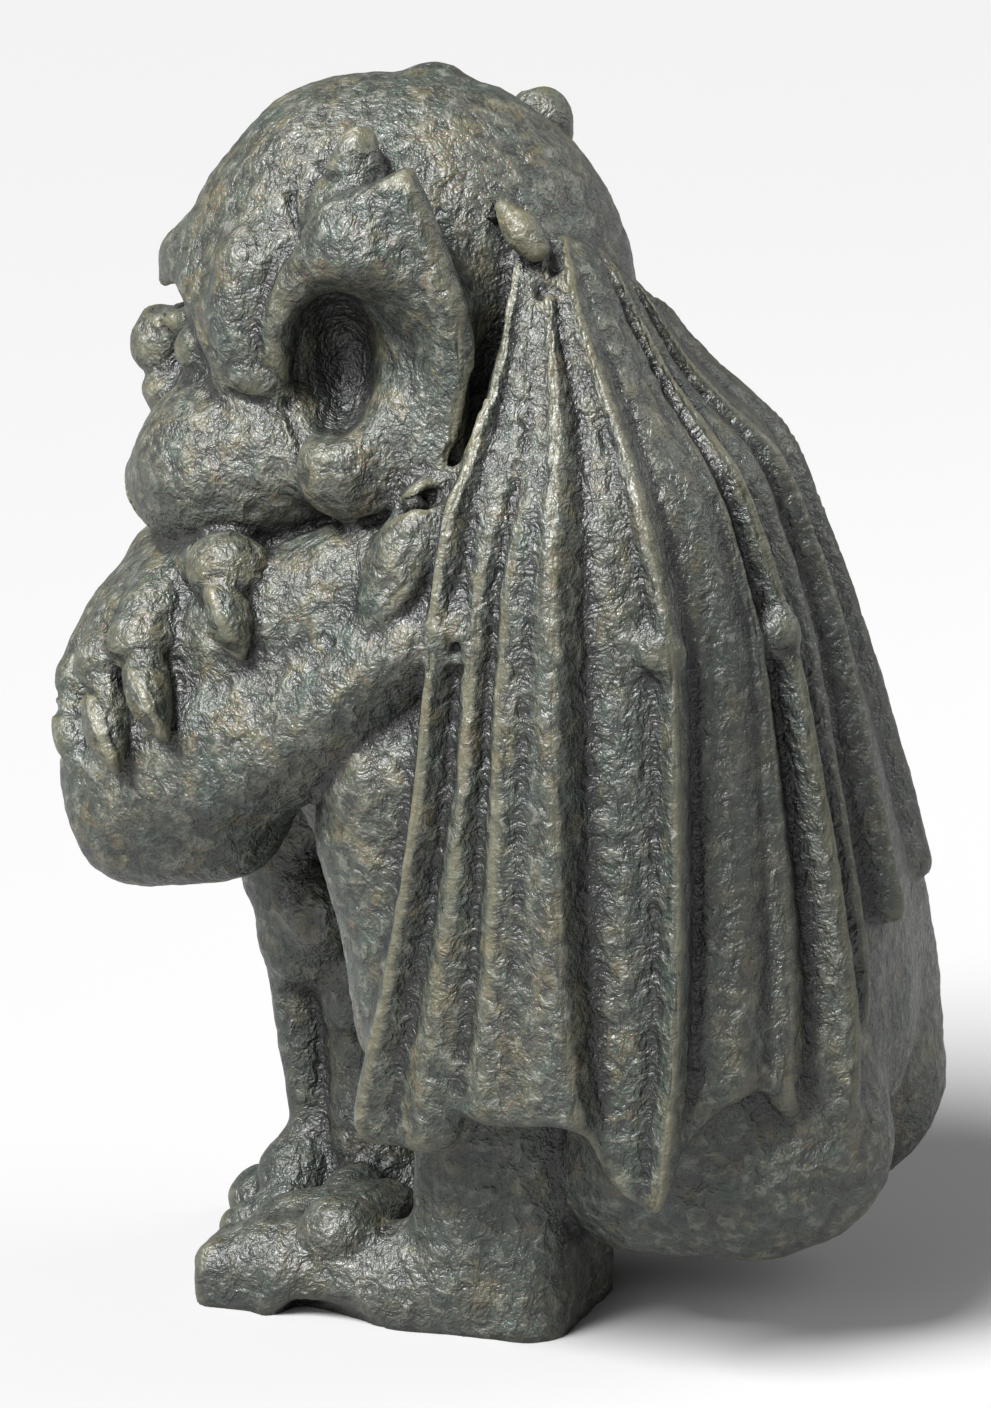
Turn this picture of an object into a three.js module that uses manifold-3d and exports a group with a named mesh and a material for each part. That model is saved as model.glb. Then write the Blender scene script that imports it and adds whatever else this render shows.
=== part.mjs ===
// A squatting gargoyle, cast as one piece: it hugs its knees with crossed arms, rests its jowls
// on the far hand and folds its wings down its back. Millimetres, +Z up, face towards -Y,
// the statue's left side towards +X. The origin is at the middle of its footprint, on the ground.
import * as THREE from 'three';
import { mergeVertices } from 'three/addons/utils/BufferGeometryUtils.js';
import Module from 'manifold-3d';

// Driving dimensions
const cell = 3.5;
const triangleGoal = 9700;
const lowest = [-118, -146, -30];
const highest = [118, 156, 416];
const skullCentre = [0, -27, 334];
const skullSize = [60, 73, 75];
const jowlCentre = [32, -73, 284];
const jowlSize = [38, 39, 32];
const hornTip = [50, -32, 393];
const earThickness = 15;
const wingFront = 105;
const wingThickness = 12;
const farCrestDrop = 24;
const nearButtock = [36, 103, 71];
const nearButtockSize = [32, 39.5, 39];
const farButtock = [-43, 106, 71];
const farButtockSize = [38, 38.5, 42];

// Values that change with height, as [height, value] from the ground up
const shoulderTwist = [[110, 0], [200, 4], [300, 9], [360, 10]];
const wingAxis = [[245, 46], [300, 38], [345, 27], [376, 20]];
const wingHalfWidth = [
  [60, 100], [110, 105], [195, 105], [245, 100], [270, 95], [290, 87.5], [308, 75], [322, 67.5], [345, 55],
  [376, 30],
];
const wingBack = [
  [60, 141], [110, 147], [150, 140], [197, 127], [241, 113.5], [272, 102], [294, 92], [309, 75], [324, 61],
  [376, 32],
];

// How far each kind of fold stands out from a wing, at foldHeights
const foldHeights = [80, 130, 190, 250, 300, 350];
const edge = [1, 1, 1, 1, 1, 0];
const bar = [5, 5.5, 6, 6, 5, 3];
const pleat = [1.5, 2, 2.5, 2, 0, 0];
const panel = [0, 0, -0.5, 0, 0, 0];
const hollow = [-2, -3, -3.5, -3, -1.5, -0.5];
const crease = [-2.5, -3.5, -3.5, -3, -2, -1];
const ridge = [4, 5, 5, 4.5, 4, 2.5];
const cord = [5.5, 6, 6, 5.5, 4.5, 3];
const groove = [-3.5, -5.5, -6.5, -5.5, -4, -2];

// Folds of a wing from its leading edge to the spine, with their bearings at foldHeights in
// degrees back from straight out
const folds = [
  { rise: edge, bearing: [-46.5, -35.5, -28.2, -25.5, -20, -9] },
  { rise: bar, bearing: [-41, -31.7, -25, -22.5, -17.5, -6.5] },
  { rise: crease, bearing: [-35.5, -28.2, -21.6, -19.2, -14.2, -3.7] },
  { rise: pleat, bearing: [-27.5, -21.8, -17, -15.4, -9.5, -1.5] },
  { rise: crease, bearing: [-20, -16.3, -13.7, -12.5, -6, 0.5] },
  { rise: pleat, bearing: [-14, -11.5, -10.2, -9.6, -4, 1.8] },
  { rise: panel, bearing: [-9.5, -7.8, -6.1, -5.4, -1.5, 3] },
  { rise: ridge, bearing: [5.2, 2.2, 0.6, -0.2, 1.9, 5.3] },
  { rise: groove, bearing: [9.5, 6.8, 6, 5.6, 8, 7.6] },
  { rise: hollow, bearing: [13, 13.5, 12.5, 11.5, 11, 8.8] },
  { rise: crease, bearing: [16.4, 17.6, 17.5, 17, 14.6, 9.9] },
  { rise: cord, bearing: [19.4, 21.2, 21.3, 20.6, 18.3, 14] },
  { rise: groove, bearing: [24.5, 25.5, 25.6, 25, 22.6, 18.5] },
  { rise: hollow, bearing: [29, 29, 29, 29, 26.5, 22] },
  { rise: panel, bearing: [34, 33.8, 33.7, 34, 32, 26] },
  { rise: crease, bearing: [39.5, 39.5, 39.5, 39.5, 36, 29.5] },
  { rise: panel, bearing: [43, 43.5, 43.5, 42.5, 38.6, 31.5] },
  { rise: groove, bearing: [48.5, 49.4, 48.8, 46, 41.7, 33.8] },
  { rise: cord, bearing: [57, 55.6, 53.8, 51, 47.1, 39] },
  { rise: groove, bearing: [65, 60.6, 59.2, 56.6, 52.5, 46] },
  { rise: panel, bearing: [68, 64, 64.5, 65, 62, 52] },
  { rise: groove, bearing: [72, 69.5, 70, 75.5, 71, 57] },
  { rise: ridge, bearing: [78, 75.2, 76, 82, 77, 63] },
  { rise: crease, bearing: [85, 83, 83.5, 87, 84, 74] },
];

// Lower edge of a wing, as [bearing, height]: it dips to a point under each rib
const wingHem = [
  [-48, 80], [-45, 73], [-38, 70], [-30, 71], [-23.5, 76], [-20.5, 86], [-10, 86], [5, 87], [9, 71],
  [15, 61], [18.5, 60], [22, 72], [27, 86], [33, 95], [39, 97], [45, 88], [51, 80], [57, 77], [61, 80],
  [64, 104], [67, 132], [71, 141], [77, 142], [88, 143], [95, 144],
];

// Upper edge of the near wing, as [bearing, height]: highest at the wrist, lowest at the nape.
// The far wing's is lower by farCrestDrop.
const wingCrest = [[-20, 356], [-4, 364], [8, 365], [20, 363], [40, 357], [56, 350], [75, 346], [90, 344]];

// The leaf of an ear between its front and back rims, as [height, distance back]
const earFront = [
  [278, -28], [285, -39], [300, -43], [318, -56], [332, -61], [348, -57.5], [364, -47], [381, -28.5],
  [391, -10],
];
const earBack = [
  [278, -28], [281, -14], [285, -3], [291, 6], [302, 9.5], [318, 11], [334, 12], [348, 9.5], [361, 4.5],
  [380, -3.5], [391, -10],
];

// Each finger of the draped hand: its ray across the back of the hand, its knuckle, and its claw
const fingers = [
  {
    ray: [[24, -92, 249, 12], [50, -82, 254, 12], [64, -74, 257, 11]],
    knuckle: [71, -70, 258],
    size: [13, 14, 12],
    claw: [[80, -68, 251, 7.5], [85, -65, 243, 7], [87, -61, 233, 1.5]],
  },
  {
    ray: [[20, -102, 244, 13], [48, -97, 244, 12.5], [62, -97, 239, 12]],
    knuckle: [69, -99, 232],
    size: [13, 12.5, 12],
    claw: [[78, -96, 224, 8], [86, -92, 216, 7], [93, -85, 206, 1.5]],
  },
  {
    ray: [[14, -106, 239, 12.5], [38, -110, 235, 12], [52, -112, 229, 12]],
    knuckle: [61, -113, 222],
    size: [13, 12.5, 12],
    claw: [[70, -112, 213, 8], [79, -109, 204, 7.5], [88, -103, 193, 1.5]],
  },
  {
    ray: [[10, -110, 236, 12.5], [26, -120, 229, 12], [35, -125, 219, 11]],
    knuckle: [43, -126, 211],
    size: [12, 12, 11],
    claw: [[51, -129, 202, 7.5], [59, -127, 196, 7], [67, -122, 187, 2]],
  },
];

// The grid's margin at a corner, how firmly a thinned edge keeps its middle, and the cosine of the
// widest turn that thinning gives a face
const cornerMargin = 0.04;
const stiffness = 0.002;
const leastTurn = 0.3;
const groundDepth = 40;

const radians = (degrees) => degrees * Math.PI / 180;
const clamp = (value, low, high) => Math.min(high, Math.max(low, value));
const smooth = (t) => t * t * (3 - 2 * t);
const dot = (a, b) => a[0] * b[0] + a[1] * b[1] + a[2] * b[2];

// The normal of a triangle, as long as twice its area
function normal(a, b, c) {
  const [ux, uy, uz] = [b[0] - a[0], b[1] - a[1], b[2] - a[2]];
  const [vx, vy, vz] = [c[0] - a[0], c[1] - a[1], c[2] - a[2]];
  return [uy * vz - uz * vy, uz * vx - ux * vz, ux * vy - uy * vx];
}

// The value of a smooth curve through rising [place, value] stations
function through(stations, place) {
  const last = stations.length - 1;
  if (place <= stations[0][0]) return stations[0][1];
  if (place >= stations[last][0]) return stations[last][1];
  let i = 0;
  while (place > stations[i + 1][0]) i += 1;
  const slope = (a, b) => (stations[b][1] - stations[a][1]) / (stations[b][0] - stations[a][0]);
  const gap = stations[i + 1][0] - stations[i][0];
  const t = (place - stations[i][0]) / gap;
  const enter = slope(Math.max(0, i - 1), i + 1) * gap;
  const leave = slope(i, Math.min(last, i + 2)) * gap;
  const [from, to] = [stations[i][1], stations[i + 1][1]];
  const rise = to - from;
  return from + t * (enter + t * (3 * rise - 2 * enter - leave + t * (enter + leave - 2 * rise)));
}

// Soft joins: the smaller or larger of two distances, rounded over about the width given
function softMin(a, b, width) {
  const h = Math.max(width - Math.abs(a - b), 0) / width;
  return Math.min(a, b) - h * h * width / 4;
}
const softMax = (a, b, width) => -softMin(-a, -b, width);

// A form has a middle and a reach that hold it, and at(x, y, z), its distance at a point in
// millimetres, which is negative inside.

// An egg, leant back about the X axis and turned about the Z axis by degrees
function egg(middle, size, lean = 0, turn = 0) {
  const [cl, sl] = [Math.cos(radians(lean)), Math.sin(radians(lean))];
  const [ct, st] = [Math.cos(radians(turn)), Math.sin(radians(turn))];
  const at = (x, y, z) => {
    const [dx, dy, dz] = [x - middle[0], y - middle[1], z - middle[2]];
    const u = ct * dx + st * dy;
    const w = -st * dx + ct * dy;
    const a = u / size[0];
    const b = (cl * w + sl * dz) / size[1];
    const c = (-sl * w + cl * dz) / size[2];
    const k = Math.hypot(a, b, c);
    const g = Math.hypot(a / size[0], b / size[1], c / size[2]);
    return g > 1e-9 ? k * (k - 1) / g : -Math.min(...size);
  };
  return { middle, reach: Math.max(...size), at };
}

// A limb with a round section through [x, y, z, radius] stations, curved between them
function limb(...stations) {
  const steps = stations.length > 2 ? 7 : 1;
  const spine = [];
  for (let s = 0; s <= (stations.length - 1) * steps; s += 1) {
    const place = s / steps;
    spine.push([0, 1, 2, 3].map((axis) => through(stations.map((row, i) => [i, row[axis]]), place)));
  }
  const middle = [0, 1, 2].map((axis) => {
    const values = spine.map((row) => row[axis]);
    return (Math.min(...values) + Math.max(...values)) / 2;
  });
  const far = (row) => Math.hypot(row[0] - middle[0], row[1] - middle[1], row[2] - middle[2]) + row[3];
  const at = (x, y, z) => {
    let nearest = Infinity;
    for (let i = 1; i < spine.length; i += 1) {
      const [a, b] = [spine[i - 1], spine[i]];
      const [ex, ey, ez] = [b[0] - a[0], b[1] - a[1], b[2] - a[2]];
      const [px, py, pz] = [x - a[0], y - a[1], z - a[2]];
      const t = clamp((px * ex + py * ey + pz * ez) / (ex * ex + ey * ey + ez * ez), 0, 1);
      const d = Math.hypot(px - t * ex, py - t * ey, pz - t * ez) - a[3] - t * (b[3] - a[3]);
      nearest = Math.min(nearest, d);
    }
    return nearest;
  };
  return { middle, reach: Math.max(...spine.map(far)), at };
}

// A block with rounded edges, turned about the Z axis by degrees
function block(middle, half, rounding, turn = 0) {
  const [ct, st] = [Math.cos(radians(turn)), Math.sin(radians(turn))];
  const at = (x, y, z) => {
    const [dx, dy] = [x - middle[0], y - middle[1]];
    const off = [ct * dx + st * dy, -st * dx + ct * dy, z - middle[2]]
      .map((value, axis) => Math.abs(value) - half[axis] + rounding);
    return Math.hypot(...off.map((value) => Math.max(value, 0))) + Math.min(Math.max(...off), 0) - rounding;
  };
  return { middle, reach: Math.hypot(...half), at };
}

// The same form on both sides of the statue
function paired(form) {
  const middle = [0, form.middle[1], form.middle[2]];
  const at = (x, y, z) => form.at(Math.abs(x), y, z);
  return { middle, reach: form.reach + Math.abs(form.middle[0]), at };
}

// A form built up by adding and cutting others, each with the width of its soft join
class Clay {
  constructor() {
    this.strokes = [];
  }

  add(form, width) {
    this.strokes.push({ form, width, cuts: false });
    return this;
  }

  cut(form, width) {
    this.strokes.push({ form, width, cuts: true });
    return this;
  }

  at(x, y, z) {
    let d = 60;
    for (const { form, width, cuts } of this.strokes) {
      const [mx, my, mz] = form.middle;
      const clear = Math.hypot(x - mx, y - my, z - mz) - form.reach;
      if (cuts && clear < width - d) d = softMax(d, -form.at(x, y, z), width);
      if (!cuts && clear < width + d) d = softMin(d, form.at(x, y, z), width);
    }
    return d;
  }

  // The clay as one form for another heap
  form() {
    const added = this.strokes.filter((stroke) => !stroke.cuts).map((stroke) => stroke.form);
    const middle = [0, 1, 2].map((axis) => {
      const low = Math.min(...added.map((form) => form.middle[axis] - form.reach));
      const high = Math.max(...added.map((form) => form.middle[axis] + form.reach));
      return (low + high) / 2;
    });
    const far = (form) => form.reach
      + Math.hypot(...form.middle.map((value, axis) => value - middle[axis]));
    return { middle, reach: Math.max(...added.map(far)), at: (x, y, z) => this.at(x, y, z) };
  }
}

// A wing's section at a height: its half width, its depth at the back, the turn of the shoulders
// and the bearing and rise of every fold. The last height asked for is kept.
const atHeights = (values) => values.map((value, i) => [foldHeights[i], value]);
let lastSection = {};
function wingSection(height) {
  if (lastSection.height === height) return lastSection;
  lastSection = {
    height,
    halfWidth: through(wingHalfWidth, height),
    axis: through(wingAxis, height),
    depth: through(wingBack, height) - through(wingAxis, height),
    twist: through(shoulderTwist, height),
    places: folds.map((fold) => through(atHeights(fold.bearing), height)),
    rises: folds.map((fold) => through(atHeights(fold.rise), height)),
  };
  return lastSection;
}

// How far the wing's surface stands out from its plain shape at a bearing
function foldRise({ places, rises }, bearing) {
  if (bearing <= places[0]) return rises[0];
  const next = places.findIndex((place) => bearing < place);
  if (next < 0) return rises[rises.length - 1];
  const t = smooth((bearing - places[next - 1]) / (places[next] - places[next - 1]));
  return rises[next - 1] + t * (rises[next] - rises[next - 1]);
}

// Both wings: one cloak round the back, pleated along its ribs, open below and in front
function wings() {
  const at = (x, y, z) => {
    const section = wingSection(z);
    const [ct, st] = [Math.cos(radians(section.twist)), Math.sin(radians(section.twist))];
    const along = ct * x + st * (y - section.axis);
    const back = -st * x + ct * (y - section.axis);
    const k = Math.hypot(along / section.halfWidth, back / (back > 0 ? section.depth : wingFront));
    const out = Math.hypot(along, back);
    const plain = k > 1e-6 ? out - out / k : -60;
    const bearing = Math.atan2(back, Math.abs(along)) * 180 / Math.PI + section.twist;
    const outer = (plain - foldRise(section, bearing)) * 0.9;
    const front = (section.places[0] - bearing) * radians(1) * out;
    // A steep hem is nearer than the height above or below it
    const slope = (through(wingHem, bearing + 1) - through(wingHem, bearing - 1))
      / radians(2) / Math.max(out, 20);
    const hem = (through(wingHem, bearing) - z) / Math.hypot(1, slope);
    const drop = smooth(clamp(-x / 30, 0, 1)) * farCrestDrop;
    const crest = (z - through(wingCrest, bearing) + drop) * 0.8;
    const leading = softMax(outer, front, 5);
    const skirt = softMax(leading, hem, 7);
    const cloak = softMax(skirt, crest, 8);
    const under = softMax(plain + wingThickness, z - 108, 10);
    return softMax(cloak, -under, 3);
  };
  return { middle: [0, 50, 220], reach: 215, at };
}

// The leaf of an ear: an outline with a slanted outer face
function earLeaf() {
  const at = (x, y, z) => {
    const outline = softMax(through(earFront, z) - y, y - through(earBack, z), 4) * 0.85;
    const face = x - 67 - 0.19 * (y + 60);
    return softMax(softMax(outline, face, 7), -face - earThickness, 8);
  };
  return { middle: [0, -22, 334], reach: 105, at };
}

function torso() {
  return new Clay()
    .add(limb([0, -14, 296, 50], [0, 22, 276, 56], [0, 42, 240, 62], [0, 56, 190, 68], [0, 64, 140, 73],
      [0, 74, 104, 68]), 10)
    .add(paired(limb([20, 20, 275, 50], [58, 20, 250, 36])), 16)
    .add(limb([0, -30, 190, 44], [0, -10, 150, 42], [0, 4, 110, 42], [0, 16, 60, 34]), 16)
    .add(limb([-34, 97, 129, 42], [-42, 101, 99, 41]), 8)
    .add(limb([28, 97, 129, 38], [32, 101, 99, 34]), 8)
    .add(egg(nearButtock, nearButtockSize), 7)
    .add(limb([34, 92, 63, 35], [29, 63, 63, 38]), 6)
    .add(egg(farButtock, farButtockSize), 7)
    .add(paired(limb([52, 70, 98, 36], [60, 24, 156, 34])), 12)
    .add(block([24, 19, 44], [36, 20, 56], 14, -6), 6);
}

function nearLeg() {
  return new Clay()
    .add(limb([62, 50, 160, 36], [62, 12, 190, 32], [61, -12, 178, 31], [60, -5, 145, 31],
      [58, -4, 112, 28]), 10)
    .add(limb([71, 10, 212, 21], [70, -14, 194, 25]), 4)
    .add(limb([50, 8, 122, 24], [42, 6, 60, 22], [40, 4, 20, 22]), 10)
    .add(egg([40, -10, 10], [21, 46, 22]), 8)
    .add(block([38, -54, 9], [17, 37, 12], 7, -3), 4)
    .add(egg([38, -60, 17], [17, 24, 12]), 4)
    .add(limb([50, -60, 12, 8], [53, -65, 2, 3]), 3)
    .add(egg([42, -42, 28], [14, 14, 11.5]), 5)
    .cut(limb([70, -20, -3, 8], [61, -36, -3, 10], [52, -52, -3, 9]), 3)
    .add(limb([14, -44, 18, 16], [15, -68, 14, 14], [16, -80, 4, 8]), 6);
}

function farLeg() {
  return new Clay()
    .add(limb([-48, 40, 160, 36], [-46, -40, 168, 34], [-42, -75, 138, 25], [-38, -75, 114, 18]), 8)
    .add(egg([-34, -68, 106], [16, 24, 17], 24), 8)
    .add(limb([-34, -74, 116, 15], [-20, -62, 120, 17]), 6)
    .add(limb([-42, -83, 104, 10], [-41, -78.5, 70, 9.5], [-40, -74, 42, 10], [-40, -72, 28, 13]), 6)
    .add(limb([-36, -46, 110, 21], [-37, -51, 88, 20], [-38, -54, 70, 15], [-34, -46, 20, 20]), 6)
    .add(egg([-36, -16, 12], [24, 54, 22]), 8)
    .add(egg([-32, -77, 20], [17, 15, 15]), 5)
    .add(egg([-38, -92, 8], [14, 13, 11]), 4)
    .add(limb([-46, -96, 10, 7], [-48, -104, 4, 4]), 3)
    .add(egg([-10, -52, 20], [15, 12, 12]), 4)
    .add(egg([2, -38, 22], [12, 12, 10]), 4)
    .add(limb([-16, -76, 10, 12], [-17, -94, 4, 8]), 4);
}

function head() {
  return new Clay()
    .add(egg(skullCentre, skullSize), 10)
    .add(egg([0, -50, 360], [50, 41, 46]), 6)
    .add(egg([-8, -22, 404], [8, 9, 7]), 6)
    .add(egg([0, -58, 354], [46, 43, 35]), 8)
    .add(limb([0, -20, 300, 46], [0, 10, 290, 46]), 20)
    .add(egg([0, -68, 308], [46, 38, 42]), 14)
    .add(paired(egg([38, -56, 340], [21, 28, 30])), 10)
    .add(paired(limb([0, -101, 344, 13], [16, -94, 347, 13], [32, -83, 341, 12], [42, -77, 330, 10])), 7)
    .cut(paired(egg([24, -112, 320], [17, 16, 12], 0, -14)), 6)
    .add(paired(egg([28, -90, 321], [12, 10, 9])), 2)
    .add(limb([0, -100, 336, 10], [0, -107, 322, 13]), 7)
    .add(egg([0, -110, 316], [17, 14, 12]), 4)
    .add(paired(egg([9, -103, 327], [11, 9, 8])), 3)
    .add(paired(egg([10, -106, 303], [12, 11, 8])), 3)
    .add(egg([0, -92, 288], [28, 24, 18]), 8)
    .add(egg([0, -74, 268], [44, 36, 18]), 10)
    .add(paired(egg([40, -56, 292], [30, 32, 26])), 10)
    .add(paired(egg(jowlCentre, jowlSize)), 5)
    .add(paired(egg([22, -84, 275], [30, 35, 22])), 8)
    .add(paired(egg([48, -67, 319], [11, 14, 9], 0, 20)), 7)
    .cut(paired(limb([0, -108, 332, 4], [14, -105, 334, 4.5], [26, -100, 337, 4])), 2)
    .cut(paired(limb([0, -115, 331, 4.5], [14, -111, 332, 5], [26, -105, 335, 5])), 2)
    .cut(paired(limb([0, -123, 288, 2.5], [20, -119, 281, 2.5], [38, -109, 270, 2])), 3)
    .add(paired(limb([54, -14, 340, 22], [52, -20, 310, 22])), 8)
    .add(paired(limb([50, -68, 352, 11], [54, -70, 336, 10], [56, -64, 318, 8])), 8)
    .add(paired(earLeaf()), 3)
    .add(paired(egg([67, -25, 360], [15, 17, 22], 38)), 8)
    .add(egg([-68, -1, 381], [10, 10, 14]), 6)
    .add(paired(egg([70, -32, 292], [13, 14, 15])), 10)
    .cut(paired(egg([97, -8, 322], [24, 24, 38], 4)), 8)
    .cut(paired(egg([84, -27, 331], [24, 23, 22])), 10)
    .cut(paired(egg([66, -37, 325], [24, 14, 22])), 10)
    .cut(paired(limb([72, -44, 314, 5], [76, -45, 304, 3])), 3)
    .add(paired(limb([50, -36, 370, 14], [50, -33, 384, 9.5], hornTip.concat(6.5))), 2);
}

function nearArm() {
  return new Clay()
    .add(limb([78, 12, 246, 18], [79, -10, 237, 18], [73, -38, 214, 23], [61, -72, 198, 29],
      [50, -93, 186, 31]), 8)
    .add(limb([48, -106, 169, 25], [54, -78, 171, 21]), 14)
    .add(egg([42, -108, 184], [27, 27, 26]), 10)
    .add(limb([93, -5, 242, 5.5], [91, -33, 218, 7], [83, -67, 189, 8], [72, -102, 179, 8]), 6)
    .add(limb([62, -10, 240, 24], [58, -48, 230, 26], [48, -78, 214, 28]), 8)
    .add(limb([60, 4, 262, 24], [61, -34, 247, 25], [56, -68, 231, 25], [46, -86, 214, 25]), 4)
    .add(egg([70, 12, 262], [20, 22, 36]), 8)
    .add(egg([83, -8, 268], [14, 11, 27], -22, 25), 3)
    .cut(limb([92, 2, 286, 2], [97, -4, 270, 2.5], [97, -17, 254, 2]), 3)
    .add(limb([10, -97, 200, 29], [48, -91, 196, 29]), 10);
}

function farArm() {
  const arm = new Clay()
    .add(limb([-66, 6, 255, 32], [-80, -40, 215, 30], [-66, -90, 190, 32]), 8)
    .add(limb([-66, -86, 192, 30], [-34, -103, 214, 24], [8, -104, 240, 20]), 8)
    .add(egg([36, -99, 233], [30, 22, 17], 24, 8), 8);
  fingers.forEach(({ ray }) => arm.add(limb(...ray), 8));
  fingers.forEach(({ knuckle, size }) => arm.add(egg(knuckle, size), 3));
  fingers.forEach(({ claw }) => arm.add(limb(...claw), 1));
  return arm;
}

function gargoyle() {
  return new Clay()
    .add(torso().form(), 2)
    .add(wings(), 3)
    .add(nearLeg().form(), 4)
    .add(farLeg().form(), 4)
    .add(nearArm().form(), 3)
    .add(farArm().form(), 2.5)
    .add(head().form(), 3)
    .cut(paired(limb([62, 16, 352, 4], [76, 13.5, 338, 4], [80, 13.5, 320, 3], [82, 10.5, 304, 2.5],
      [82, 5, 292, 3], [82, -5, 285, 3], [82, -18, 280, 3])), 2)
    .cut(paired(limb([60, 14, 340, 4.5], [70, 13, 324, 4], [72, 9, 306, 3], [74, 2, 291, 3])), 2)
    .add(limb([50, 26, 363, 4.5], [48, 21, 368, 6], [46, 14, 375, 2.5]), 3)
    .add(limb([-52, 22, 338, 4.5], [-50, 16, 344, 6], [-48, 9, 350, 2.5]), 3);
}

// Space is divided into cubes of the cell size, whose corners are numbered by their bits, 1 for +x,
// 2 for +y and 4 for +z, and each cube into six tetrahedra
const tetrahedra = [[0, 1, 3, 7], [0, 1, 5, 7], [0, 2, 3, 7], [0, 2, 6, 7], [0, 4, 5, 7], [0, 4, 6, 7]];
const axes = [0, 1, 2];
const bit = (number, place) => (number >> place) & 1;

// The faces that the surface makes in a tetrahedron, where the mask's bits say which corners of the
// cube are inside. Each is three crossed edges, anticlockwise seen from outside.
function facesWithin(tetrahedron, mask) {
  const inner = tetrahedron.filter((corner) => bit(mask, corner));
  const outer = tetrahedron.filter((corner) => !bit(mask, corner));
  if (!inner.length || !outer.length) return [];
  const mean = (corners, axis) => (
    corners.reduce((sum, corner) => sum + bit(corner, axis), 0) / corners.length
  );
  const outward = axes.map((axis) => mean(outer, axis) - mean(inner, axis));
  const faces = [];
  if (inner.length === 2) {
    const ring = [[0, 0], [0, 1], [1, 1], [1, 0]].map(([m, n]) => [inner[m], outer[n]]);
    faces.push([ring[0], ring[1], ring[2]], [ring[0], ring[2], ring[3]]);
  } else {
    const [alone, rest] = inner.length === 1 ? [inner[0], outer] : [outer[0], inner];
    faces.push(rest.map((corner) => [alone, corner]));
  }
  const half = (edge) => axes.map((axis) => mean(edge, axis));
  return faces.map((face) => (dot(normal(...face.map(half)), outward) > 0 ? face : face.toReversed()));
}
const cubeFaces = Array.from({ length: 256 }, (_, mask) => tetrahedra.flatMap((t) => facesWithin(t, mask)));

// The surface of a form as points and triangles
function surface(form) {
  const [nx, ny, nz] = axes.map((axis) => Math.ceil((highest[axis] - lowest[axis]) / cell) + 1);
  const distance = new Float64Array(nx * ny * nz);
  for (let k = 0, n = 0; k < nz; k += 1) {
    for (let j = 0; j < ny; j += 1) {
      for (let i = 0; i < nx; i += 1, n += 1) {
        distance[n] = form.at(lowest[0] + i * cell, lowest[1] + j * cell, lowest[2] + k * cell);
      }
    }
  }
  const corners = [0, 1, 2, 3, 4, 5, 6, 7];
  const offset = corners.map((corner) => bit(corner, 0) + nx * (bit(corner, 1) + ny * bit(corner, 2)));
  const points = [];
  const faces = [];
  const known = new Map();
  // The point where the surface crosses the edge between two corners of a cube
  const crossing = (base, cube, one, other) => {
    const [from, to] = [Math.min(one, other), Math.max(one, other)];
    const key = (base + offset[from]) * corners.length + (from ^ to);
    if (!known.has(key)) {
      const [a, b] = [distance[base + offset[from]], distance[base + offset[to]]];
      const t = clamp(a / (a - b), cornerMargin, 1 - cornerMargin);
      const along = axes.map((axis) => cube[axis] + bit(from, axis) + t * (bit(to, axis) - bit(from, axis)));
      known.set(key, points.length);
      points.push(along.map((value, axis) => lowest[axis] + value * cell));
    }
    return known.get(key);
  };
  for (let k = 0; k < nz - 1; k += 1) {
    for (let j = 0; j < ny - 1; j += 1) {
      for (let i = 0; i < nx - 1; i += 1) {
        const base = i + nx * (j + ny * k);
        const inside = (corner) => distance[base + offset[corner]] < 0;
        const mask = corners.reduce((sum, corner) => sum + (inside(corner) << corner), 0);
        for (const face of cubeFaces[mask]) {
          faces.push(face.map(([one, other]) => crossing(base, [i, j, k], one, other)));
        }
      }
    }
  }
  return { points, faces };
}

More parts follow.
